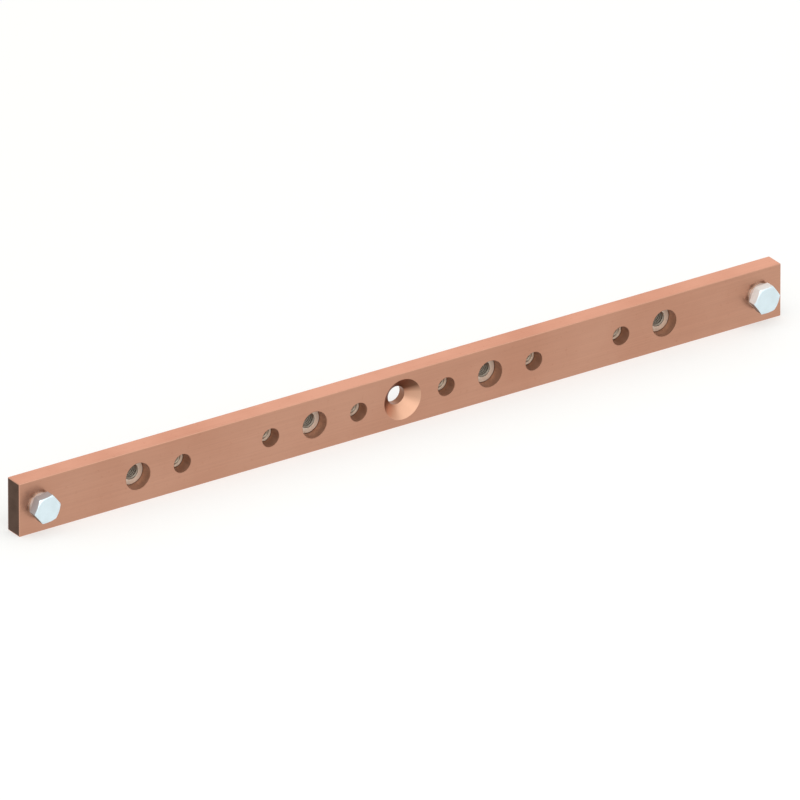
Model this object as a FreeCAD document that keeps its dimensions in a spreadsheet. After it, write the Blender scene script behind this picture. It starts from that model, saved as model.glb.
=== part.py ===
import FreeCAD, Part
import Sketcher
import os

# A copper busbar with threaded nuts pressed in from behind and a bolt at each end.
# The bar runs along X and stands on its long edge, with its front face towards -Y.
# The origin is the middle of the fixing hole on the back face.

# Driving dimensions in millimetres, and degrees for angles.
SIZES = {
    # the bar
    "bar_length": 434.0,
    "bar_height": 27.5,
    "bar_thickness": 10.0,
    "bar_edge_radius": 0.4,
    "hole_edge_break": 0.3,
    # holes: one grid along the bar, with the end bolts set in from the ends
    "hole_pitch": 25.0,
    "end_margin": 12.0,
    "fixing_hole_dia": 9.4,
    "fixing_sink_dia": 20.7,
    "fixing_sink_angle": 90.0,
    # press nuts
    "large_hole_dia": 13.6,
    "large_thread_bore": 6.65,
    "large_collar_length": 3.7,
    "large_flange_rim": 2.0,
    "large_flange_height": 4.6,
    "small_hole_dia": 9.4,
    "small_thread_bore": 5.0,
    "small_collar_length": 3.4,
    "small_flange_rim": 1.7,
    "small_flange_height": 3.6,
    "press_gap": 0.05,
    "nut_edge_break": 0.3,
    "thread_entry": 0.7,
    # end bolts and their washers
    "bolt_dia": 8.0,
    "bolt_length": 20.0,
    "bolt_thread_dia": 7.8,
    "bolt_thread_length": 7.5,
    "bolt_point": 0.9,
    "bolt_hole_gap": 0.5,
    "head_across_flats": 13.0,
    "head_height": 5.3,
    "head_crown_dia": 12.3,
    "head_crown_angle": 30.0,
    "left_head_turn": 8.0,
    "right_head_turn": 4.5,
    "washer_bore_gap": 0.2,
    "washer_rim": 2.15,
    "washer_thickness": 1.6,
    "washer_edge_break": 0.25,
}

# Grid steps of the nut holes to each side of the middle.
LARGE_HOLE_STEPS = (-6, -2, 2, 6)
SMALL_HOLE_STEPS = (-5, -3, -1, 1, 3, 5)

HEX_SIDES = 6
FULL_TURN = 360.0
OWN_AXIS = FreeCAD.Vector(0, 0, 1)
# Turns a piece's own axis from +Z to the front of the bar, -Y.
FACE_FRONT = FreeCAD.Rotation(FreeCAD.Vector(1, 0, 0), 90)
# Two lengths closer than this are the same length.
SAME = 1e-6

doc = FreeCAD.newDocument("copper_busbar")
sheet = doc.addObject("Spreadsheet::Sheet", "Sizes")


def fill_sheet():
    for row, (name, value) in enumerate(SIZES.items(), start=1):
        sheet.set(f"A{row}", name)
        sheet.set(f"B{row}", str(value))
        sheet.setAlias(f"B{row}", name)
    doc.recompute()


def number(expression):
    return float(sheet.evalExpression(expression))


def size(expression):
    """Writes the sheet's name before each size that an expression uses."""
    words = [f"Sizes.{word}" if word in SIZES else word for word in expression.split()]
    return " ".join(words)


def new_body(label):
    body = doc.addObject("PartDesign::Body", label)
    body.Label = label
    return body


def plane(body, role):
    return next(item for item in body.Origin.OriginFeatures if item.Role == role)


def new_sketch(body, name, role):
    sketch = body.newObject("Sketcher::SketchObject", name)
    sketch.AttachmentSupport = (plane(body, role), [""])
    sketch.MapMode = "FlatFace"
    return sketch


def bind(sketch, constraint, expression):
    """Adds a distance that follows an expression of the sheet's sizes."""
    index = sketch.addConstraint(constraint)
    sketch.setExpression(f"Constraints[{index}]", expression)


def place_point(sketch, geometry, point, across, along):
    """Fixes a sketch point by its signed places, each on its axis or bound to the sheet."""
    for kind, place, axis in (("DistanceX", across, -2), ("DistanceY", along, -1)):
        if place == "0":
            sketch.addConstraint(Sketcher.Constraint("PointOnObject", geometry, point, axis))
            continue
        value = number(place)
        if value > 0:
            ends = (-1, 1, geometry, point)
            expression = place
        else:
            ends = (geometry, point, -1, 1)
            expression = f"-({place})"
        bind(sketch, Sketcher.Constraint(kind, *ends, abs(value)), expression)


def outline(sketch, places):
    """Draws a closed outline through places given as pairs of expressions."""
    places = [(size(across), size(along)) for across, along in places]
    points = [FreeCAD.Vector(number(across), number(along), 0) for across, along in places]
    count = len(points)
    for k in range(count):
        sketch.addGeometry(Part.LineSegment(points[k], points[(k + 1) % count]), False)
    for k in range(count):
        sketch.addConstraint(Sketcher.Constraint("Coincident", k, 2, (k + 1) % count, 1))
    for k, (across, along) in enumerate(places):
        place_point(sketch, k, 1, across, along)


def circles(sketch, centres, diameter):
    """Draws circles of one diameter on the bar's centre line."""
    diameter = size(diameter)
    for centre in centres:
        across = size(centre)
        middle = FreeCAD.Vector(number(across), 0, 0)
        index = sketch.addGeometry(Part.Circle(middle, OWN_AXIS, number(diameter) / 2), False)
        bind(sketch, Sketcher.Constraint("Diameter", index, number(diameter)), diameter)
        place_point(sketch, index, 3, across, "0")


def turned(body, name, places):
    """Turns an outline of radius and height pairs about the body's own Z axis."""
    sketch = new_sketch(body, f"{name}_outline", "XZ_Plane")
    outline(sketch, places)
    doc.recompute()
    turn = body.newObject("PartDesign::Revolution", name)
    turn.Profile = sketch
    turn.ReferenceAxis = (sketch, ["V_Axis"])
    turn.Angle = FULL_TURN
    doc.recompute()


def set_on_bar(body, across, depth):
    """Puts a piece on the bar's centre line, its own Z axis towards the front."""
    body.Placement = FreeCAD.Placement(FreeCAD.Vector(), FACE_FRONT)
    body.setExpression("Placement.Base.x", size(across))
    body.setExpression("Placement.Base.y", size(depth))
    doc.recompute()


def drill(body, name, centres, diameter):
    """Drills through holes from the back of the bar."""
    sketch = new_sketch(body, f"{name}_places", "XZ_Plane")
    circles(sketch, centres, diameter)
    doc.recompute()
    before = body.Shape.Volume
    hole = body.newObject("PartDesign::Pocket", name)
    hole.Profile = sketch
    hole.Type = "ThroughAll"
    hole.Reversed = True
    doc.recompute()
    if body.Shape.Volume >= before:
        raise RuntimeError(f"{name} removed nothing from the bar")


def rims(shape, diameters, depth):
    """Names the round edges of the given diameters at one depth in the bar."""
    found = []
    for index, edge in enumerate(shape.Edges, start=1):
        if edge.Degenerated or not isinstance(edge.Curve, Part.Circle):
            continue
        level = abs(edge.Curve.Center.y - depth) < SAME
        matches = any(abs(2 * edge.Curve.Radius - diameter) < SAME for diameter in diameters)
        if level and matches:
            found.append(f"Edge{index}")
    return found


def make_busbar():
    body = new_body("busbar")
    face = new_sketch(body, "bar_face", "XZ_Plane")
    corners = ((-1, -1), (1, -1), (1, 1), (-1, 1))
    outline(face, [(f"{x} * bar_length / 2", f"{z} * bar_height / 2") for x, z in corners])
    doc.recompute()
    flat = body.newObject("PartDesign::Pad", "bar_stock")
    flat.Profile = face
    flat.setExpression("Length", size("bar_thickness"))
    doc.recompute()
    edges = body.newObject("PartDesign::Fillet", "bar_edges")
    edges.Base = (flat, [f"Edge{k}" for k in range(1, len(flat.Shape.Edges) + 1)])
    edges.setExpression("Radius", size("bar_edge_radius"))
    doc.recompute()

    bolt_places = [f"{side} * ( bar_length / 2 - end_margin )" for side in (-1, 1)]
    drill(body, "large_holes", [f"{k} * hole_pitch" for k in LARGE_HOLE_STEPS], "large_hole_dia")
    drill(body, "small_holes", [f"{k} * hole_pitch" for k in SMALL_HOLE_STEPS], "small_hole_dia")
    drill(body, "bolt_holes", bolt_places, "bolt_dia + 2 * bolt_hole_gap")
    drill(body, "fixing_hole", ["0"], "fixing_hole_dia")

    depth = "( fixing_sink_dia - fixing_hole_dia ) / 2 / tan( fixing_sink_angle / 2 * 1 deg )"
    sink = body.newObject("PartDesign::SubtractiveCone", "fixing_sink")
    sink.AttachmentSupport = (plane(body, "XZ_Plane"), [""])
    sink.MapMode = "FlatFace"
    sink.setExpression("Radius1", size("fixing_hole_dia / 2"))
    sink.setExpression("Radius2", size("fixing_sink_dia / 2"))
    sink.setExpression("Height", size(depth))
    sink.setExpression("AttachmentOffset.Base.z", size(f"bar_thickness - {depth}"))
    doc.recompute()

    front = -number(size("bar_thickness"))
    nut_holes = [number(size(name)) for name in ("large_hole_dia", "small_hole_dia")]
    broken = body.newObject("PartDesign::Chamfer", "nut_hole_rims")
    broken.Base = (sink, rims(sink.Shape, nut_holes, front))
    broken.setExpression("Size", size("hole_edge_break"))
    doc.recompute()
    return body


def make_press_nut(label, kind, step):
    """A round nut whose collar is pressed into the bar from behind, up to its flange."""
    body = new_body(label)
    bore = f"{kind}_thread_bore / 2"
    collar = f"( {kind}_hole_dia / 2 - press_gap )"
    flange = f"( {kind}_hole_dia / 2 + {kind}_flange_rim )"
    seat = f"{kind}_flange_height"
    front = f"( {kind}_flange_height + {kind}_collar_length )"
    turned(body, f"{label}_blank", [
        (f"{bore} + thread_entry", "0"),
        (f"{flange} - nut_edge_break", "0"),
        (flange, "nut_edge_break"),
        (flange, seat),
        (collar, seat),
        (collar, f"{front} - nut_edge_break"),
        (f"{collar} - nut_edge_break", front),
        (f"{bore} + thread_entry", front),
        (bore, f"{front} - thread_entry"),
        (bore, "thread_entry"),
    ])
    set_on_bar(body, f"{step} * hole_pitch", seat)
    return body


def make_washer(label, side):
    """A plain washer flat on the front face, narrower than the bolt's head, its outer edge eased."""
    body = new_body(label)
    bore = "bolt_dia / 2 + washer_bore_gap"
    rim = f"{bore} + washer_rim"
    turned(body, f"{label}_blank", [
        (bore, "0"),
        (rim, "0"),
        (rim, "washer_thickness - washer_edge_break"),
        (f"{rim} - washer_edge_break", "washer_thickness"),
        (bore, "washer_thickness"),
    ])
    set_on_bar(body, f"{side} * ( bar_length / 2 - end_margin )", "-1 * bar_thickness")
    return body


def make_bolt(label, side, turn):
    """A hexagon bolt through the washer and the bar, its point standing out behind."""
    body = new_body(label)
    thread = "bolt_thread_dia / 2"
    shank = "bolt_dia / 2"
    turned(body, f"{label}_shank", [
        ("0", "0"),
        (f"{thread} - bolt_point", "0"),
        (thread, "bolt_point"),
        (thread, "bolt_thread_length"),
        (shank, "bolt_thread_length"),
        (shank, "bolt_length"),
        ("0", "bolt_length"),
    ])
    head = body.newObject("PartDesign::AdditivePrism", f"{label}_head")
    head.AttachmentSupport = (plane(body, "XY_Plane"), [""])
    head.MapMode = "FlatFace"
    head.Polygon = HEX_SIDES
    head.AttachmentOffset = FreeCAD.Placement(FreeCAD.Vector(), OWN_AXIS, FULL_TURN / HEX_SIDES)
    head.setExpression("Circumradius", size("head_across_flats / sqrt( 3 )"))
    head.setExpression("Height", size("head_height"))
    head.setExpression("AttachmentOffset.Base.z", size("bolt_length"))
    head.setExpression("AttachmentOffset.Rotation.Angle", size(turn))
    doc.recompute()

    # The crown is turned down from a circle on the head's top to beyond its corners.
    top = "bolt_length + head_height"
    beyond = "head_across_flats"
    slope = "tan( head_crown_angle * 1 deg )"
    crown_sketch = new_sketch(body, f"{label}_crown_outline", "XZ_Plane")
    outline(crown_sketch, [
        ("head_crown_dia / 2", top),
        (beyond, top),
        (beyond, f"{top} - ( {beyond} - head_crown_dia / 2 ) * {slope}"),
    ])
    doc.recompute()
    before = body.Shape.Volume
    crown = body.newObject("PartDesign::Groove", f"{label}_crown")
    crown.Profile = crown_sketch
    crown.ReferenceAxis = (crown_sketch, ["V_Axis"])
    crown.Angle = FULL_TURN
    doc.recompute()
    if body.Shape.Volume >= before:
        raise RuntimeError(f"{label} has no crown on its head")
    reach = "bolt_length - bar_thickness - washer_thickness"
    set_on_bar(body, f"{side} * ( bar_length / 2 - end_margin )", reach)
    return body


def check(bodies):
    """Stops before anything is written if an object failed or a piece is not one sound solid."""
    for item in doc.Objects:
        if "Invalid" in item.State or "Error" in item.State:
            raise RuntimeError(f"{item.Label} failed: {item.State}")
    for body in bodies:
        if body.Shape.isNull() or not body.Shape.isValid():
            raise RuntimeError(f"{body.Label} has no valid shape")
        if len(body.Shape.Solids) != 1:
            raise RuntimeError(f"{body.Label} is not one solid")


def main():
    fill_sheet()
    bodies = [make_busbar()]
    for number_along, step in enumerate(LARGE_HOLE_STEPS, start=1):
        bodies.append(make_press_nut(f"large_press_nut_{number_along}", "large", step))
    for number_along, step in enumerate(SMALL_HOLE_STEPS, start=1):
        bodies.append(make_press_nut(f"small_press_nut_{number_along}", "small", step))
    for name, side in (("left", -1), ("right", 1)):
        bodies.append(make_washer(f"{name}_washer", side))
        bodies.append(make_bolt(f"{name}_end_bolt", side, f"{name}_head_turn"))
    doc.recompute()
    check(bodies)
    os.makedirs("parts", exist_ok=True)
    for body in bodies:
        body.Shape.exportStep(f"parts/{body.Label}.step")
        print(f"{body.Label}: {body.Shape.Volume:.1f} mm3")


main()
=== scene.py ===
import bmesh
import bpy
import math
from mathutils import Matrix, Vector


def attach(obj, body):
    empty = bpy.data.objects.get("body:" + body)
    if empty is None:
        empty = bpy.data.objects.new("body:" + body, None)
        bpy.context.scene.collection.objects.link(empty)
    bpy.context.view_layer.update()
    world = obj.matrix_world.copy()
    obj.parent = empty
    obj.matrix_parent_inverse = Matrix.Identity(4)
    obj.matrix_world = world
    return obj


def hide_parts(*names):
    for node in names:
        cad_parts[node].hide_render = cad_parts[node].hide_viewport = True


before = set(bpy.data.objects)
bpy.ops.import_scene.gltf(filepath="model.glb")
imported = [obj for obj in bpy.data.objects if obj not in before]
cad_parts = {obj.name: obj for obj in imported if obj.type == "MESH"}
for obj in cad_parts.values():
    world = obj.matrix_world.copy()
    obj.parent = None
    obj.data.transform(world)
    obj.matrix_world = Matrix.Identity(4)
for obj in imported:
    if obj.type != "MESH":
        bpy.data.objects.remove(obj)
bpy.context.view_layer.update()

MM = 0.001

# Corners that agree to this many digits of a millimetre are one corner.
PLACE_DIGITS = 5

# The bar: long along X, its front face towards -Y, its back face on Y = 0.
BAR_LENGTH = 434.0
BAR_HEIGHT = 27.5
BAR_THICKNESS = 10.0
BAR_EDGE = 0.4
EDGE_STEPS = 4
RIM_BREAK = 0.3
HOLE_PITCH = 25.0
END_MARGIN = 12.0
BOLT_PLACE = BAR_LENGTH / 2 - END_MARGIN
LARGE_STEPS = (-6, -2, 2, 6)
SMALL_STEPS = (-5, -3, -1, 1, 3, 5)
LARGE_HOLE = 6.8
SMALL_HOLE = 4.7
BOLT_HOLE = 4.5
FIXING_HOLE = 4.7
FIXING_SINK = 10.35
SINK_RIM = 0.12
SINK_RIM_DEPTH = 0.168
SINK_ROWS = 2
SIDE_STEPS = 24

# Press nuts: collar in the bar, flange behind it.
PRESS_GAP = 0.05
NUT_EDGE = 0.3
THREAD_ENTRY = 0.7
LARGE_NUT = {
    "bore": 3.325, "root": 4.0, "pitch": 1.25,
    "hole": LARGE_HOLE, "collar": 3.7, "rim": 2.0, "flange": 4.6,
}
SMALL_NUT = {
    "bore": 2.5, "root": 3.0, "pitch": 1.0,
    "hole": SMALL_HOLE, "collar": 3.4, "rim": 1.7, "flange": 3.6,
}
NUT_SIDES = 72

# End bolts and washers.
BOLT_RADIUS = 4.0
BOLT_LENGTH = 20.0
THREAD_CREST = 3.9
THREAD_ROOT = 3.2
THREAD_PITCH = 1.25
THREAD_LENGTH = 7.5
THREAD_RUNOUT = 1.0
BOLT_POINT = 0.9
HEAD_SIDES = 6
SIDE_TURN = 360 / HEAD_SIDES
HALF_SIDE = SIDE_TURN / 2
HEAD_FLATS = 13.0
HEAD_HEIGHT = 5.3
HEAD_CORNER = 0.4
HEAD_UNDERCUT = 0.15
CROWN_RADIUS = 6.15
CROWN_SLOPE = math.tan(math.radians(30))
CROWN_EDGE = 0.12
LEFT_HEAD_TURN = 8.0
RIGHT_HEAD_TURN = 4.5
WASHER_BORE = 4.2
WASHER_RIM = 6.35
WASHER_THICKNESS = 1.6
WASHER_EDGE = 0.25
WASHER_SIDES = 96

# Degrees from a head's corner to the places near it, and the steps along the rest of a side.
CORNER_STEPS = (0.0, 0.8, 1.6)
PLAIN_REACH = 24
PLAIN_STEP = 4

# Rows of a thread to each turn, how many of them are crest and root, and how far below its start it begins.
TURN_ROWS = 12
CREST_ROWS = 3
ROOT_ROWS = 3
LEAD_TURNS = 2

# Edges that bend more than this stay sharp.
SHARP_ANGLE = math.radians(32)


def round_profile(corner, start, end, radius, steps):
    """Points of a quarter or lesser round about a corner point, between two angles in degrees."""
    points = []
    for k in range(steps + 1):
        turn = math.radians(start + (end - start) * k / steps)
        points.append((corner[0] + radius * math.cos(turn), corner[1] + radius * math.sin(turn)))
    return points


class Maker:
    """Collects faces in millimetres and joins the corners that fall together."""

    def __init__(self):
        self.mesh = bmesh.new()
        self.known = {}

    def corner(self, place):
        """The corner at a place, new or already known."""
        key = tuple(round(value, PLACE_DIGITS) for value in place)
        if key not in self.known:
            self.known[key] = self.mesh.verts.new([value * MM for value in place])
        return self.known[key]

    def face(self, places, finish=0):
        """One face; places that fall together count once."""
        corners = []
        for place in places:
            corner = self.corner(place)
            if corner not in corners:
                corners.append(corner)
        if len(corners) < 3:
            return
        made = self.mesh.faces.get(corners)
        if made is None:
            made = self.mesh.faces.new(corners)
        made.material_index = finish
        made.smooth = True

    def rows(self, rows, finish=0):
        """Skins between closed rows of equally many places."""
        for low, high in zip(rows, rows[1:]):
            count = len(low)
            for k in range(count):
                after = (k + 1) % count
                self.face((low[k], low[after], high[after], high[k]), finish)

    def finish(self, name, place, body, slot, node, finishes):
        """Turns the collected faces into a piece that stands for a node of the frame."""
        mesh = self.mesh
        bmesh.ops.recalc_face_normals(mesh, faces=mesh.faces[:])
        for edge in mesh.edges:
            if len(edge.link_faces) == 2 and edge.calc_face_angle(0.0) > SHARP_ANGLE:
                edge.smooth = False
        data = bpy.data.meshes.new(name)
        mesh.to_mesh(data)
        mesh.free()
        for look in finishes:
            data.materials.append(look)
        piece = bpy.data.objects.new(name, data)
        piece.location = [value * MM for value in place]
        bpy.context.scene.collection.objects.link(piece)
        weigh = piece.modifiers.new("even_faces", "WEIGHTED_NORMAL")
        weigh.keep_sharp = True
        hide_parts(node)
        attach(piece, body)
        return piece


def to_front(across, up, out):
    """A place on a turned piece, whose own axis points out of the front face."""
    return (across, -out, up)


def ring(radius, out, angles):
    """A row of places round a turned piece."""
    return [to_front(radius * math.cos(a), radius * math.sin(a), out) for a in angles]


def even_angles(count):
    """Angles evenly round a full turn."""
    return [2 * math.pi * k / count for k in range(count)]


def thread_radius(row, crest, root):
    """Radius on one row of a thread: a flat crest, a flank, a flat root and a flank."""
    row = row % TURN_ROWS
    flank = (TURN_ROWS - CREST_ROWS - ROOT_ROWS) / 2
    if row <= CREST_ROWS:
        return crest
    if row < CREST_ROWS + flank:
        return crest + (root - crest) * (row - CREST_ROWS) / flank
    if row <= CREST_ROWS + flank + ROOT_ROWS:
        return root
    return root + (crest - root) * (row - CREST_ROWS - flank - ROOT_ROWS) / flank


def thread_skin(maker, angles, low, high, pitch, crest, root, trim, finish=0):
    """A wall that winds along its thread from one height to another; trim shapes its two ends."""
    count = len(angles)
    total = math.ceil((high - low) / pitch * TURN_ROWS) + LEAD_TURNS * TURN_ROWS
    lift = pitch / TURN_ROWS

    def place(column, row):
        turn = angles[column] / (2 * math.pi)
        out = low + (row + TURN_ROWS * (turn - LEAD_TURNS)) * lift
        out = min(max(out, low), high)
        radius = trim(thread_radius(row, crest, root), out)
        return to_front(radius * math.cos(angles[column]), radius * math.sin(angles[column]), out)

    for column in range(count):
        after = column + 1
        for row in range(total):
            if after < count:
                other = (place(after, row + 1), place(after, row))
            else:
                other = (place(0, row + 1 + TURN_ROWS), place(0, row + TURN_ROWS))
            maker.face((place(column, row), *reversed(other), place(column, row + 1)), finish)


def disc(maker, radius, out, angles, finish=0):
    """A flat end of a turned piece."""
    centre = to_front(0, 0, out)
    edge = ring(radius, out, angles)
    for k in range(len(edge)):
        maker.face((centre, edge[k], edge[(k + 1) % len(edge)]), finish)


def bar_cells():
    """The bar's cells along its length, each with one hole or none."""
    half = HOLE_PITCH / 2
    last = LARGE_STEPS[-1] * HOLE_PITCH + half
    cells = []
    for step in range(LARGE_STEPS[0], LARGE_STEPS[-1] + 1):
        place = step * HOLE_PITCH
        walls = None
        if step in LARGE_STEPS:
            walls = nut_hole_walls(LARGE_HOLE)
        elif step in SMALL_STEPS:
            walls = nut_hole_walls(SMALL_HOLE)
        elif step == 0:
            walls = fixing_hole_walls()
        cells.append((place - half, place + half, place, walls))
    inner = BOLT_PLACE - half
    outer = BAR_LENGTH / 2 - BAR_EDGE
    for side in (-1, 1):
        cells.append((*sorted((side * last, side * inner)), None, None))
        cells.append((*sorted((side * inner, side * outer)), side * BOLT_PLACE, bolt_hole_walls()))
    return sorted(cells, key=lambda cell: cell[0])


def nut_hole_walls(radius):
    """Radius and depth along a nut's hole, its front rim rounded."""
    front = -BAR_THICKNESS
    rim = round_profile((radius + RIM_BREAK, front + RIM_BREAK), -90, -180, RIM_BREAK, EDGE_STEPS)
    return rim + [(radius, 0.0)]


def bolt_hole_walls():
    """Radius and depth along an end bolt's hole."""
    return [(BOLT_HOLE, -BAR_THICKNESS), (BOLT_HOLE, 0.0)]


def fixing_hole_walls():
    """Radius and depth along the middle hole: its sink, and then its plain part."""
    front = -BAR_THICKNESS
    foot = front + FIXING_SINK - FIXING_HOLE
    back = round_profile((FIXING_HOLE + RIM_BREAK, -RIM_BREAK), 180, 90, RIM_BREAK, EDGE_STEPS)
    return [(FIXING_SINK + SINK_RIM, front), (FIXING_SINK - SINK_RIM, front + SINK_RIM_DEPTH),
            (FIXING_HOLE, foot)] + back


def side_heights():
    """Even heights up the bar's face, between its rounded edges."""
    inner = BAR_HEIGHT / 2 - BAR_EDGE
    return [inner * (2 * k / SIDE_STEPS - 1) for k in range(SIDE_STEPS + 1)]


def cell_frame(low, high, heights):
    """Places round a cell of the bar's face, from its lower left corner, as across and up."""
    widths = [low + (high - low) * k / SIDE_STEPS for k in range(SIDE_STEPS + 1)]
    around = [(across, heights[0]) for across in widths[:-1]]
    around += [(high, up) for up in heights[:-1]]
    around += [(across, heights[-1]) for across in reversed(widths[1:])]
    around += [(low, up) for up in reversed(heights[1:])]
    return around, widths


def bar_section(spread):
    """Places round the bar's section, as depth and up, standing off its inner core by a spread."""
    top = BAR_HEIGHT / 2 - BAR_EDGE
    front = -BAR_THICKNESS + BAR_EDGE
    back = -BAR_EDGE
    over = round_profile((front, top), 180, 90, spread, EDGE_STEPS)
    over += round_profile((back, top), 90, 0, spread, EDGE_STEPS)
    painted_shade = round_profile((back, -top), 0, -90, spread, EDGE_STEPS)
    painted_shade += round_profile((front, -top), -90, -180, spread, EDGE_STEPS)
    return over, painted_shade


def make_bar(finishes):
    """The drilled bar: its faces cell by cell, its long edges, and its two sawn ends."""
    maker = Maker()
    heights = side_heights()
    front, back = -BAR_THICKNESS, 0.0
    over, painted_shade = bar_section(BAR_EDGE)
    drawn, drilled_shaded, sawn_shaded, turned, reamed_shaded, rubbed = range(len(finishes))
    for low, high, place, walls in bar_cells():
        around, widths = cell_frame(low, high, heights)
        if walls is None:
            widths = [low, high]
            for depth in (front, back):
                for up, above in zip(heights, heights[1:]):
                    lower = [(low, depth, up), (high, depth, up)]
                    maker.face(lower + [(high, depth, above), (low, depth, above)], drawn)
        else:
            angles = [math.atan2(up, across - place) for across, up in around]
            for depth, radius in ((front, walls[0][0]), (back, walls[-1][0])):
                edge = [(across, depth, up) for across, up in around]
                mouth = [(place + radius * math.cos(a), depth, radius * math.sin(a)) for a in angles]
                maker.rows([edge, mouth], drawn)
            bores = []
            for r, depth in walls:
                bores.append([(place + r * math.cos(a), depth, r * math.sin(a)) for a in angles])
            cut = SINK_ROWS if place == 0 else 0
            plain_hole = place == 0 or abs(place) == BOLT_PLACE
            # The sink's turned copper carries painted shade on its upper part.
            maker.rows(bores[:cut + 1], turned)
            # The drilled and reamed hole walls are darkened as painted shade.
            maker.rows(bores[cut:], drilled_shaded if plain_hole else reamed_shaded)
        for strip in (over, painted_shade):
            for across, beyond in zip(widths, widths[1:]):
                for k, ((d0, u0), (d1, u1)) in enumerate(zip(strip, strip[1:])):
                    finish = drawn if k == EDGE_STEPS else rubbed
                    first = [(across, d0, u0), (beyond, d0, u0)]
                    maker.face(first + [(beyond, d1, u1), (across, d1, u1)], finish)
    core = BAR_LENGTH / 2 - BAR_EDGE
    for side in (-1, 1):
        loops = []
        for k in range(EDGE_STEPS + 1):
            turn = math.pi / 2 * k / EDGE_STEPS
            across = side * (core + BAR_EDGE * math.sin(turn))
            spread = BAR_EDGE * math.cos(turn)
            over, painted_shade = bar_section(spread)
            face = [(front + BAR_EDGE - spread, up) for up in heights[1:-1]]
            rear = [(back - BAR_EDGE + spread, up) for up in reversed(heights[1:-1])]
            loops.append([(across, depth, up) for depth, up in over + rear + painted_shade + face])
        for near, far in zip(loops, loops[1:]):
            maker.rows([near, far], rubbed)
        for up, above in zip(heights, heights[1:]):
            edge = side * BAR_LENGTH / 2
            near, far = front + BAR_EDGE, back - BAR_EDGE
            # The sawn ends: saw marks, and a dark colour that is partly painted shade.
            maker.face([(edge, near, up), (edge, far, up), (edge, far, above), (edge, near, above)], sawn_shaded)
    return maker.finish("busbar_drawn", (0, 0, 0), "root", "bar_copper", "busbar", finishes)


def make_nut(name, node, place, nut, finishes):
    """A turned press nut with its thread cut through it."""
    maker = Maker()
    angles = even_angles(NUT_SIDES)
    bore, seat = nut["bore"], nut["flange"]
    collar = nut["hole"] - PRESS_GAP
    flange = nut["hole"] + nut["rim"]
    front = seat + nut["collar"]
    entry = bore + THREAD_ENTRY
    outside = [(entry, 0.0)]
    outside += round_profile((flange - NUT_EDGE, NUT_EDGE), -90, 0, NUT_EDGE, EDGE_STEPS)
    outside += [(flange, seat), (collar, seat)]
    outside += round_profile((collar - NUT_EDGE, front - NUT_EDGE), 0, 90, NUT_EDGE, EDGE_STEPS)
    outside += [(entry, front)]
    rows = [ring(radius, out, angles) for radius, out in outside]
    plain, thread, faced = range(len(finishes))
    maker.rows(rows[:-1], plain)
    maker.rows(rows[-2:], faced)

    def trim(radius, out):
        return max(radius, entry - out, entry - (front - out))

    thread_skin(maker, angles, 0.0, front, nut["pitch"], bore, nut["root"], trim, thread)
    return maker.finish(name, (place, seat, 0), "root", "nut_steel", node, finishes)


def make_washer(name, node, place, finishes):
    """A punched washer: its outer edge is drawn over on the side towards the bolt's head."""
    maker = Maker()
    angles = even_angles(WASHER_SIDES)
    top = WASHER_THICKNESS
    section = [(WASHER_BORE, 0.0), (WASHER_RIM, 0.0)]
    section += round_profile((WASHER_RIM - WASHER_EDGE, top - WASHER_EDGE), 0, 90, WASHER_EDGE, EDGE_STEPS)
    section += [(WASHER_BORE, top)]
    rows = [ring(radius, out, angles) for radius, out in section]
    maker.rows(rows + [rows[0]])
    return maker.finish(name, (place, -BAR_THICKNESS, 0), "root", "bolt_zinc", node, finishes)


def head_angles(turn):
    """Angles round a hexagon head, closer together at its corners."""
    steps = [step - HALF_SIDE for step in CORNER_STEPS]
    steps += range(-PLAIN_REACH, PLAIN_REACH + 1, PLAIN_STEP)
    steps += [HALF_SIDE - step for step in reversed(CORNER_STEPS[1:])]
    middles = [turn + HALF_SIDE + SIDE_TURN * side for side in range(HEAD_SIDES)]
    return [math.radians(middle + step) for middle in middles for step in steps]


def head_reach(angle, turn):
    """Distance from the axis to the head's side, its corners rounded."""
    off = (math.degrees(angle) - turn) % SIDE_TURN - HALF_SIDE
    flat = HEAD_FLATS / 2 / math.cos(math.radians(off))
    middle = (HEAD_FLATS / 2 - HEAD_CORNER) / math.cos(math.radians(HALF_SIDE))
    bend = math.radians(HALF_SIDE - abs(off))
    inside = HEAD_CORNER ** 2 - (middle * math.sin(bend)) ** 2
    if inside <= 0:
        return flat
    return min(flat, middle * math.cos(bend) + math.sqrt(inside))


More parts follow.
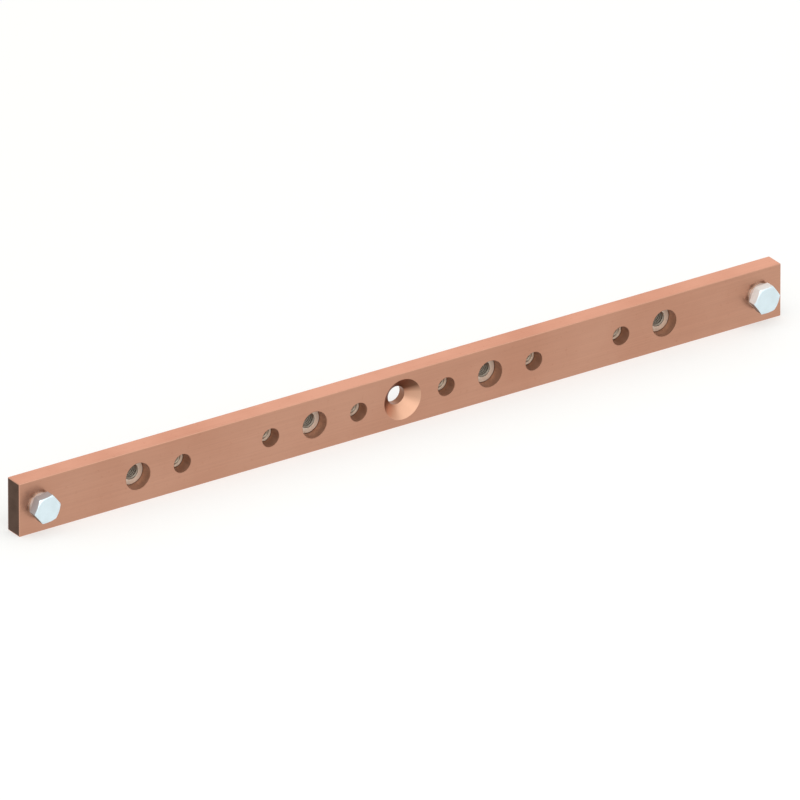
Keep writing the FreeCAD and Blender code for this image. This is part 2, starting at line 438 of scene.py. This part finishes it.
def make_bolt(name, node, place, turn, finishes):
    """A hexagon bolt: threaded point, plain shank and crowned head."""
    maker = Maker()
    angles = head_angles(turn)
    plain, thread, flats = range(len(finishes))
    tip = THREAD_CREST - BOLT_POINT
    disc(maker, tip, 0.0, angles, plain)

    def trim(radius, out):
        runout = THREAD_CREST + (THREAD_LENGTH - out) / THREAD_RUNOUT * (THREAD_ROOT - THREAD_CREST)
        return min(max(radius, runout), tip + out)

    thread_skin(maker, angles, 0.0, THREAD_LENGTH, THREAD_PITCH, THREAD_CREST, THREAD_ROOT, trim, thread)
    top = BOLT_LENGTH + HEAD_HEIGHT
    reach = [head_reach(angle, turn) for angle in angles]

    def around(inset, heights):
        return [to_front((r - inset) * math.cos(a), (r - inset) * math.sin(a), out)
                for r, a, out in zip(reach, angles, heights)]

    count = len(angles)
    crown = [top - (r - CROWN_RADIUS) * CROWN_SLOPE for r in reach]
    rows = [ring(THREAD_CREST, THREAD_LENGTH, angles), ring(BOLT_RADIUS, THREAD_LENGTH, angles)]
    rows += [ring(BOLT_RADIUS, BOLT_LENGTH, angles)]
    rows += [around(HEAD_UNDERCUT, [BOLT_LENGTH] * count)]
    foot = around(0.0, [BOLT_LENGTH + HEAD_UNDERCUT] * count)
    maker.rows(rows + [foot], plain)
    shoulder = around(0.0, [out - CROWN_EDGE for out in crown])
    maker.rows([foot, shoulder], flats)
    rows = [shoulder, around(CROWN_EDGE, [out + CROWN_EDGE * CROWN_SLOPE for out in crown])]
    rows += [ring(CROWN_RADIUS + CROWN_EDGE, top - CROWN_EDGE * CROWN_SLOPE, angles)]
    rows += [ring(CROWN_RADIUS - CROWN_EDGE, top, angles)]
    maker.rows(rows, plain)
    disc(maker, CROWN_RADIUS - CROWN_EDGE, top, angles, plain)
    reach_back = BOLT_LENGTH - BAR_THICKNESS - WASHER_THICKNESS
    return maker.finish(name, (place, reach_back, 0), "root", "bolt_zinc", node, finishes)


# Finishes
def from_screen(red, green, blue):
    """A colour picked on a screen, 0 to 255, as linear light by the usual screen curve."""
    values = []
    for value in (red, green, blue):
        value = value / 255
        values.append(value / 12.92 if value <= 0.04045 else ((value + 0.055) / 1.055) ** 2.4)
    return (*values, 1.0)


WHITE = (1.0, 1.0, 1.0, 1.0)
COPPER_EDGE = (1.0, 0.71, 0.68, 1.0)
# The direction of the painted light on the sink and the heads, and how softly their painted shade ends on the
# faces turned away from it.
PAINTED_LIGHT_FROM = (-0.37, 0.0, 0.93)
PAINTED_SHADE_SOFT = 0.16
# How much a line of grain changes the roughness, and how much rougher full tarnish is.
GRAIN_SPREAD = 0.25
TARNISH_ROUGH = 0.15
# Fine grain lies this much closer than the coarse, and specks are this much smaller than clouds.
FINE_GRAIN = 3.7
SPECK_FINENESS = 23.0
# Where the factor and the colours of a mixing node go in, and where the mix comes out.
MIX_FACTOR, MIX_FIRST, MIX_SECOND = 0, 6, 7
MIX_RESULT = 2


def new_group(name, values, outputs):
    """A node group that takes a vector and some values and gives some values."""
    group = bpy.data.node_groups.new(name, "ShaderNodeTree")
    group.interface.new_socket("Vector", in_out="INPUT", socket_type="NodeSocketVector")
    for label in values:
        group.interface.new_socket(label, in_out="INPUT", socket_type="NodeSocketFloat")
    for label in outputs:
        group.interface.new_socket(label, in_out="OUTPUT", socket_type="NodeSocketFloat")
    return group, group.nodes.new("NodeGroupInput"), group.nodes.new("NodeGroupOutput")


def math_node(tree, operation, first, second, clamp=False):
    """A sum on two values, each a number or a socket."""
    node = tree.nodes.new("ShaderNodeMath")
    node.operation = operation
    node.use_clamp = clamp
    for socket, value in zip(node.inputs, (first, second)):
        if isinstance(value, (int, float)):
            socket.default_value = value
        else:
            tree.links.new(value, socket)
    return node.outputs[0]


def mix_colour(tree, factor, first, second, blend="MIX"):
    """A mix of two colours, each given or from a socket."""
    node = tree.nodes.new("ShaderNodeMix")
    node.data_type = "RGBA"
    node.blend_type = blend
    for place, value in ((MIX_FACTOR, factor), (MIX_FIRST, first), (MIX_SECOND, second)):
        if isinstance(value, (int, float, tuple)):
            node.inputs[place].default_value = value
        else:
            tree.links.new(value, node.inputs[place])
    return node.outputs[MIX_RESULT]


def stretched_noise(tree, vector, stretch, detail, rough):
    """Noise on places that are scaled along each axis first."""
    scale = tree.nodes.new("ShaderNodeMapping")
    scale.inputs["Scale"].default_value = stretch
    tree.links.new(vector, scale.inputs["Vector"])
    noise = tree.nodes.new("ShaderNodeTexNoise")
    noise.inputs["Scale"].default_value = 1.0
    noise.inputs["Detail"].default_value = detail
    noise.inputs["Roughness"].default_value = rough
    tree.links.new(scale.outputs[0], noise.inputs["Vector"])
    return noise.outputs["Fac"]


def remap(tree, value, low, high, to_low, to_high):
    """A value moved from one range to another and held inside it."""
    node = tree.nodes.new("ShaderNodeMapRange")
    tree.links.new(value, node.inputs["Value"])
    for label, number in (("From Min", low), ("From Max", high), ("To Min", to_low), ("To Max", to_high)):
        node.inputs[label].default_value = number
    return node.outputs[0]


def grain_group():
    """Fine lines left by drawing, turning or rolling, on any stretch of the surface's own places."""
    values = ("Tone", "Spread", "Middle")
    group, given, made = new_group("metal_grain", values, ("Shade", "Roughness", "Height"))
    places = given.outputs["Vector"]
    coarse = stretched_noise(group, places, stretch=(1.0, 1.0, 1.0), detail=2.0, rough=0.5)
    fine = stretched_noise(group, places, stretch=(FINE_GRAIN, FINE_GRAIN, FINE_GRAIN), detail=3.0, rough=0.6)
    both = math_node(group, "ADD", coarse, fine)
    lines = math_node(group, "SUBTRACT", both, 1.0)
    shade = math_node(group, "ADD", math_node(group, "MULTIPLY", lines, given.outputs["Tone"]), 1.0)
    spread = math_node(group, "MULTIPLY", lines, given.outputs["Spread"])
    rough = math_node(group, "ADD", spread, given.outputs["Middle"])
    group.links.new(shade, made.inputs["Shade"])
    group.links.new(rough, made.inputs["Roughness"])
    group.links.new(both, made.inputs["Height"])
    return group


def tarnish_group():
    """Soft clouds of darker skin, and small specks, where the metal was handled."""
    group, given, made = new_group("handling_tarnish", ("Cloud Size", "Amount"), ("Mask",))
    cloud = group.nodes.new("ShaderNodeTexNoise")
    cloud.inputs["Detail"].default_value = 4.0
    group.links.new(given.outputs["Vector"], cloud.inputs["Vector"])
    group.links.new(given.outputs["Cloud Size"], cloud.inputs["Scale"])
    speck = group.nodes.new("ShaderNodeTexNoise")
    speck.inputs["Detail"].default_value = 2.0
    group.links.new(given.outputs["Vector"], speck.inputs["Vector"])
    speck_size = math_node(group, "MULTIPLY", given.outputs["Cloud Size"], SPECK_FINENESS)
    group.links.new(speck_size, speck.inputs["Scale"])
    clouds = remap(group, cloud.outputs["Fac"], low=0.4, high=0.7, to_low=0.0, to_high=0.7)
    specks = remap(group, speck.outputs["Fac"], low=0.62, high=0.75, to_low=0.0, to_high=0.5)
    both = math_node(group, "ADD", clouds, specks)
    mask = math_node(group, "MULTIPLY", both, given.outputs["Amount"], clamp=True)
    group.links.new(mask, made.inputs["Mask"])
    return group


def place_group(tree, group, vector, **values):
    """A node group set into a tree, with its values."""
    node = tree.nodes.new("ShaderNodeGroup")
    node.node_tree = group
    tree.links.new(vector, node.inputs["Vector"])
    for label, value in values.items():
        node.inputs[label.replace("_", " ")].default_value = value
    return node


def metal(name, colour, skin, stretch, tone, rough, tarnish, cloud, bump, bare=1.0, edge=WHITE, turned=False,
          painted_shade=None):
    """A bare or plated metal with lines of grain and a light tarnish over its colour.

    Where a shade colour is given, the parts that look down, away from the painted light, get that colour as
    painted shade.
    """
    look = bpy.data.materials.new(name)
    look.use_nodes = True
    tree = look.node_tree
    shader = tree.nodes["Principled BSDF"]
    shader.inputs["Metallic"].default_value = bare
    shader.inputs["Specular Tint"].default_value = edge
    surface = tree.nodes.new("ShaderNodeTexCoord")
    places = surface.outputs["Object"]
    grained = places
    if turned:
        parts = tree.nodes.new("ShaderNodeSeparateXYZ")
        tree.links.new(places, parts.inputs[0])
        squares = math_node(tree, "ADD", math_node(tree, "POWER", parts.outputs["X"], 2.0),
                            math_node(tree, "POWER", parts.outputs["Z"], 2.0))
        joined = tree.nodes.new("ShaderNodeCombineXYZ")
        tree.links.new(math_node(tree, "SQRT", squares, 0.0), joined.inputs["X"])
        tree.links.new(parts.outputs["Y"], joined.inputs["Y"])
        grained = joined.outputs[0]
    scale = tree.nodes.new("ShaderNodeMapping")
    scale.inputs["Scale"].default_value = stretch
    tree.links.new(grained, scale.inputs["Vector"])
    grain = place_group(tree, GRAIN, scale.outputs[0], Tone=tone, Spread=rough * GRAIN_SPREAD, Middle=rough)
    dull = place_group(tree, TARNISH, places, Cloud_Size=cloud, Amount=tarnish)
    tarnish_and_shade = mix_colour(tree, dull.outputs["Mask"], colour, skin)
    # Painted shade: the faces turned away from the painted light take the shade colour.
    if painted_shade is not None:
        light_facing = tree.nodes.new("ShaderNodeVectorMath")
        light_facing.operation = "DOT_PRODUCT"
        light_facing.inputs[1].default_value = PAINTED_LIGHT_FROM
        tree.links.new(surface.outputs["Normal"], light_facing.inputs[0])
        painted_shade_mask = remap(tree, light_facing.outputs["Value"], -PAINTED_SHADE_SOFT, PAINTED_SHADE_SOFT, to_low=1.0, to_high=0.0)
        tarnish_and_shade = mix_colour(tree, painted_shade_mask, tarnish_and_shade, painted_shade)
    shaded = mix_colour(tree, 1.0, tarnish_and_shade, grain.outputs["Shade"], "MULTIPLY")
    tree.links.new(shaded, shader.inputs["Base Color"])
    dulled = math_node(tree, "MULTIPLY", dull.outputs["Mask"], TARNISH_ROUGH)
    worn = math_node(tree, "ADD", grain.outputs["Roughness"], dulled)
    tree.links.new(worn, shader.inputs["Roughness"])
    relief = tree.nodes.new("ShaderNodeBump")
    relief.inputs["Strength"].default_value = 1.0
    relief.inputs["Distance"].default_value = bump * MM
    tree.links.new(grain.outputs["Height"], relief.inputs["Height"])
    tree.links.new(relief.outputs[0], shader.inputs["Normal"])
    return look


GRAIN = grain_group()
TARNISH = tarnish_group()

COPPER = from_screen(193, 145, 122)
COPPER_SKIN = from_screen(178, 126, 102)
# Drilled hole walls: a darker copper, darkened as painted shade in the holes.
DRILLED_SHADE = from_screen(146, 102, 80)
DRILLED_SHADE_SKIN = from_screen(118, 80, 62)
# The sink's turned copper: its colour on the side facing the painted light, and painted shade on its upper
# part.
TURNED = from_screen(208, 164, 138)
TURNED_SKIN = from_screen(190, 144, 119)
TURNED_SHADE = from_screen(116, 85, 67)
# Reamed nut-hole walls: a darker copper, darkened as painted shade in the holes.
REAMED_SHADE = from_screen(176, 130, 106)
REAMED_SHADE_SKIN = from_screen(156, 111, 90)
RUBBED_COPPER = from_screen(199, 150, 127)
# The sawn ends' dark colour: partly a darker sawn finish and partly painted shade.
SAWN_SHADE = from_screen(90, 67, 54)
SAWN_SHADE_SKIN = from_screen(67, 48, 38)
STEEL = from_screen(196, 194, 188)
STEEL_SKIN = from_screen(166, 160, 150)
FACED = from_screen(242, 230, 214)
FACED_SKIN = from_screen(206, 192, 175)
PALE = from_screen(252, 240, 220)
PALE_SKIN = from_screen(218, 204, 186)
THREAD_STEEL = from_screen(150, 139, 126)
THREAD_OIL = from_screen(106, 95, 83)
PALE_THREAD = from_screen(186, 172, 154)
PALE_OIL = from_screen(146, 132, 114)
ZINC = from_screen(224, 240, 247)
ZINC_SKIN = from_screen(190, 204, 206)
THREAD_ZINC = from_screen(190, 199, 201)
THREAD_ZINC_SKIN = from_screen(150, 157, 157)
# The left head's flats: a darker, painted-shade copy of the zinc, with deeper painted shade turned away from
# the light.
SHADED_ZINC = from_screen(178, 176, 178)
SHADED_ZINC_SKIN = from_screen(152, 150, 150)
SHADED_ZINC_DEEP = from_screen(122, 120, 114)
# The right head's flats: a whiter, painted-light copy of the zinc, with painted shade turned away from the
# light.
LIT_ZINC = from_screen(243, 248, 248)
LIT_ZINC_SKIN = from_screen(214, 220, 219)
LIT_ZINC_SHADE = from_screen(132, 124, 120)

drawn_copper = metal("drawn_copper", COPPER, COPPER_SKIN, stretch=(9, 1000, 1000), tone=0.15, rough=0.3,
                     tarnish=0.65, cloud=22, bump=0.0015, edge=COPPER_EDGE)
turned_shaded_copper = metal("turned_shaded_copper", TURNED, TURNED_SKIN, stretch=(1900, 1900, 1), tone=0.05, rough=0.42,
                      tarnish=0.25, cloud=60, bump=0.001, edge=COPPER_EDGE, turned=True, painted_shade=TURNED_SHADE)
drilled_shaded_copper = metal("drilled_shaded_copper", DRILLED_SHADE, DRILLED_SHADE_SKIN, stretch=(60, 2600, 60), tone=0.08, rough=0.34,
                       tarnish=0.4, cloud=60, bump=0.002)
reamed_shaded_copper = metal("reamed_shaded_copper", REAMED_SHADE, REAMED_SHADE_SKIN, stretch=(60, 2600, 60), tone=0.08, rough=0.4,
                      tarnish=0.3, cloud=60, bump=0.002, bare=0.6)
rubbed_copper = metal("rubbed_copper", RUBBED_COPPER, COPPER, stretch=(40, 900, 900), tone=0.06, rough=0.32,
                      tarnish=0.6, cloud=90, bump=0.001, edge=COPPER_EDGE)
sawn_shaded_copper = metal("sawn_shaded_copper", SAWN_SHADE, SAWN_SHADE_SKIN, stretch=(40, 60, 2600), tone=0.14, rough=0.5,
                    tarnish=0.6, cloud=120, bump=0.006)
turned_steel = metal("turned_steel", STEEL, STEEL_SKIN, stretch=(2600, 2600, 1), tone=0.1, rough=0.34,
                     tarnish=0.5, cloud=160, bump=0.002, bare=0.9, turned=True)
faced_steel = metal("faced_steel", FACED, FACED_SKIN, stretch=(2600, 2600, 1), tone=0.08, rough=0.42,
                    tarnish=0.4, cloud=160, bump=0.002, bare=0.4, turned=True)
cut_thread = metal("cut_thread", THREAD_STEEL, THREAD_OIL, stretch=(900, 900, 900), tone=0.08, rough=0.36,
                   tarnish=0.5, cloud=200, bump=0.001, bare=0.7)
pale_steel = metal("pale_steel", PALE, PALE_SKIN, stretch=(2600, 2600, 1), tone=0.08, rough=0.42,
                   tarnish=0.4, cloud=160, bump=0.002, bare=0.15, turned=True)
pale_thread = metal("pale_thread", PALE_THREAD, PALE_OIL, stretch=(900, 900, 900), tone=0.08, rough=0.36,
                    tarnish=0.5, cloud=200, bump=0.001, bare=0.7)
bright_zinc = metal("bright_zinc", ZINC, ZINC_SKIN, stretch=(1100, 1100, 1), tone=0.06, rough=0.34,
                    tarnish=0.35, cloud=150, bump=0.0015, bare=0.75, turned=True)
painted_lit_zinc = metal("painted_lit_zinc", LIT_ZINC, LIT_ZINC_SKIN, stretch=(300, 2400, 300), tone=0.06, rough=0.36,
                    tarnish=0.3, cloud=200, bump=0.0015, bare=0.15, painted_shade=LIT_ZINC_SHADE)
rolled_thread = metal("rolled_thread", THREAD_ZINC, THREAD_ZINC_SKIN, stretch=(700, 700, 700), tone=0.04,
                      rough=0.34, tarnish=0.45, cloud=200, bump=0.001, bare=0.85)
painted_shaded_zinc = metal("painted_shaded_zinc", SHADED_ZINC, SHADED_ZINC_SKIN, stretch=(300, 2400, 300), tone=0.08, rough=0.42,
                     tarnish=0.4, cloud=200, bump=0.002, bare=0.35, painted_shade=SHADED_ZINC_DEEP)

make_bar([drawn_copper, drilled_shaded_copper, sawn_shaded_copper, turned_shaded_copper, reamed_shaded_copper, rubbed_copper])
large_finishes = [turned_steel, cut_thread, faced_steel]
small_finishes = [turned_steel, pale_thread, pale_steel]
for k, step in enumerate(LARGE_STEPS, start=1):
    make_nut(f"large_nut_{k}", f"large_press_nut_{k}", step * HOLE_PITCH, LARGE_NUT, large_finishes)
for k, step in enumerate(SMALL_STEPS, start=1):
    make_nut(f"small_nut_{k}", f"small_press_nut_{k}", step * HOLE_PITCH, SMALL_NUT, small_finishes)
# The left head's flats get the painted-shade copy of the zinc, and the right head's flats get the
# painted-light copy.
ends = (
    ("left", -BOLT_PLACE, LEFT_HEAD_TURN, painted_shaded_zinc),
    ("right", BOLT_PLACE, RIGHT_HEAD_TURN, painted_lit_zinc),
)
for side, place, turn, flats in ends:
    make_washer(f"{side}_flat_washer", f"{side}_washer", place, [bright_zinc])
    make_bolt(f"{side}_hex_bolt", f"{side}_end_bolt", place, turn, [bright_zinc, rolled_thread, flats])


# The stage: a pale floor under the bar's lower edge, a white surround and soft lamps.
FLOOR_GAP = 0.01
FLOOR_LEVEL = -(BAR_HEIGHT / 2 + FLOOR_GAP)
FLOOR_REACH = 8000.0
FLOOR_SIDES = 96
PAPER = (1.0, 1.0, 0.985, 1.0)
FLOOR_GLOW = 0.465
FLOOR_COLOUR = (0.53, 0.53, 0.525, 1.0)
# The surround's light on matt surfaces, and what the camera and the metal see of the surround.
SURROUND_LEVEL = 0.85
SEEN_LEVEL = 1.0


def choose_shader(tree, factor, plain, other):
    """The plain shader where the factor is nought, and the other where it is one."""
    node = tree.nodes.new("ShaderNodeMixShader")
    tree.links.new(factor, node.inputs[0])
    tree.links.new(plain, node.inputs[1])
    tree.links.new(other, node.inputs[2])
    return node.outputs[0]


def mirrored(tree, path):
    """One where a ray comes from a mirror-like surface or a clear one, and else nought."""
    return math_node(tree, "MAXIMUM", path.outputs["Is Glossy Ray"], path.outputs["Is Transmission Ray"])


def emission(tree, level):
    """A glow of a paper-white colour."""
    node = tree.nodes.new("ShaderNodeEmission")
    node.inputs["Color"].default_value = PAPER
    node.inputs["Strength"].default_value = level
    return node.outputs[0]


def make_floor():
    """A white floor that keeps the bar's shadow and is plain white in mirrors."""
    look = bpy.data.materials.new("pale_floor")
    look.use_nodes = True
    tree = look.node_tree
    tree.nodes.clear()
    path = tree.nodes.new("ShaderNodeLightPath")
    soft = tree.nodes.new("ShaderNodeBsdfDiffuse")
    soft.inputs["Color"].default_value = FLOOR_COLOUR
    lit = tree.nodes.new("ShaderNodeAddShader")
    tree.links.new(soft.outputs[0], lit.inputs[0])
    tree.links.new(emission(tree, FLOOR_GLOW), lit.inputs[1])
    seen = choose_shader(tree, path.outputs["Is Camera Ray"], soft.outputs[0], lit.outputs[0])
    whole = choose_shader(tree, mirrored(tree, path), seen, emission(tree, SEEN_LEVEL))
    out = tree.nodes.new("ShaderNodeOutputMaterial")
    tree.links.new(whole, out.inputs["Surface"])
    mesh = bmesh.new()
    bmesh.ops.create_circle(mesh, cap_ends=True, segments=FLOOR_SIDES, radius=FLOOR_REACH * MM)
    data = bpy.data.meshes.new("floor")
    mesh.to_mesh(data)
    mesh.free()
    data.materials.append(look)
    floor = bpy.data.objects.new("floor", data)
    floor.location = (0, 0, FLOOR_LEVEL * MM)
    bpy.context.scene.collection.objects.link(floor)


def make_surround():
    """An even white surround."""
    world = bpy.data.worlds.new("white_surround")
    bpy.context.scene.world = world
    world.use_nodes = True
    tree = world.node_tree
    tree.nodes.clear()
    path = tree.nodes.new("ShaderNodeLightPath")
    levels = []
    for level in (SURROUND_LEVEL, SEEN_LEVEL):
        levels.append(tree.nodes.new("ShaderNodeBackground"))
        levels[-1].inputs["Color"].default_value = PAPER
        levels[-1].inputs["Strength"].default_value = level
    plain = math_node(tree, "MAXIMUM", path.outputs["Is Camera Ray"], mirrored(tree, path))
    out = tree.nodes.new("ShaderNodeOutputWorld")
    whole = choose_shader(tree, plain, levels[0].outputs[0], levels[1].outputs[0])
    tree.links.new(whole, out.inputs["Surface"])


def aim(item, towards):
    """Turns a lamp or the camera so that it looks along a direction."""
    item.rotation_mode = "QUATERNION"
    item.rotation_quaternion = Vector(towards).to_track_quat("-Z", "Y")


def panel_lamp(name, place, width, height, level):
    """A soft panel that looks at the middle of the bar; its level is the brightness of its face."""
    data = bpy.data.lights.new(name, "AREA")
    data.shape = "RECTANGLE"
    data.size = width
    data.size_y = height
    data.energy = level * math.pi * width * height
    lamp = bpy.data.objects.new(name, data)
    lamp.location = place
    aim(lamp, -Vector(place))
    lamp.visible_camera = False
    bpy.context.scene.collection.objects.link(lamp)


# The camera: a very long lens, because the view is all but parallel.
VIEW_TURN = math.radians(33.82)
VIEW_RISE = math.radians(25.73)
TO_CAMERA = Vector((-math.sin(VIEW_TURN) * math.cos(VIEW_RISE),
                    -math.cos(VIEW_TURN) * math.cos(VIEW_RISE), math.sin(VIEW_RISE)))
PICTURE = 800
PIXELS_PER_MM = 2.1118
SENSOR = 36.0
LENS = 1500.0
NEAREST = 0.1
FURTHEST = 100.0
# Where the middle of the bar's front face falls in the picture.
MIDDLE_ACROSS = 402.67
MIDDLE_DOWN = 399.52


def make_camera():
    """The camera, from the left front and a little above."""
    data = bpy.data.cameras.new("view")
    data.sensor_width = SENSOR
    data.lens = LENS
    width = PICTURE / PIXELS_PER_MM * MM
    away = width * LENS / SENSOR
    camera = bpy.data.objects.new("view", data)
    right = Vector((math.cos(VIEW_TURN), -math.sin(VIEW_TURN), 0))
    up = right.cross(-TO_CAMERA)
    step = MM / PIXELS_PER_MM
    target = Vector((0, -BAR_THICKNESS * MM, 0))
    target += right * (PICTURE / 2 - MIDDLE_ACROSS) * step
    target += up * (MIDDLE_DOWN - PICTURE / 2) * step
    camera.location = target + TO_CAMERA * away
    aim(camera, -TO_CAMERA)
    data.clip_start = NEAREST
    data.clip_end = FURTHEST
    bpy.context.scene.collection.objects.link(camera)
    bpy.context.scene.camera = camera


make_floor()
make_surround()
panel_lamp("back_panel", place=(0.62, 0.92, 0.53), width=1.1, height=0.7, level=0.5)
panel_lamp("front_panel", place=(-0.55, -0.83, 0.50), width=1.3, height=0.95, level=0.9)
panel_lamp("upper_panel", place=(0.28, -0.52, 0.86), width=0.9, height=0.7, level=0.8)
make_camera()
bpy.context.scene.view_settings.view_transform = "Standard"
